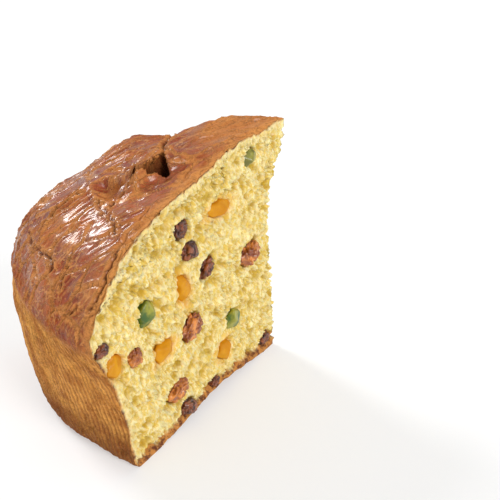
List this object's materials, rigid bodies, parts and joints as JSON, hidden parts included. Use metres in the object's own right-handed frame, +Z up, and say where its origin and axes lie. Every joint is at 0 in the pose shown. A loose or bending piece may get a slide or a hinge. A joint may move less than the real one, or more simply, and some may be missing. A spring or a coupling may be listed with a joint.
{
  "type": "panettone slice",
  "caption": "Tall wedge of sweet domed bread with a glossy baked crust, an open yellow crumb and raisins and candied peel set in both cut faces.",
  "frame": {"origin": "middle of the box around the part, on the plane the base rests on", "axes": "+X from the crust towards the edge where the two cuts meet, +Z up, one cut faces -Y and the other +Y"},
  "size_m": [0.1226, 0.1148, 0.1121],
  "materials": {
    "loaf": "baked bread: glossy red-brown dome, matte ribbed brown wall and open pale yellow crumb in the cuts",
    "raisin": "wrinkled dark brown raisin skin, moist",
    "candied_orange": "translucent sugared orange peel",
    "candied_citron": "translucent sugared green citron peel"
  },
  "bodies": {
    "root": {"loaf": "loaf", "raisin_double_upper": "raisin", "raisin_double_lower": "raisin", "raisin_dark": "raisin", "raisin_round": "raisin", "raisin_glossy": "raisin", "raisin_small": "raisin", "raisin_low": "raisin", "raisin_foot": "raisin", "raisin_rim": "raisin", "raisin_burnt": "raisin", "raisin_corner": "raisin", "candied_orange_top": "candied_orange", "candied_orange_mid": "candied_orange", "candied_orange_left": "candied_orange", "candied_orange_low": "candied_orange", "candied_orange_wall": "candied_orange", "candied_citron_top": "candied_citron", "candied_citron_left": "candied_citron", "candied_citron_right": "candied_citron", "raisin_back_1": "raisin", "raisin_back_2": "raisin", "raisin_back_3": "raisin", "raisin_back_4": "raisin", "raisin_back_5": "raisin", "candied_orange_back_1": "candied_orange", "candied_orange_back_2": "candied_orange", "candied_orange_back_3": "candied_orange", "candied_citron_back_1": "candied_citron", "candied_citron_back_2": "candied_citron"}
  },
  "joints": []
}
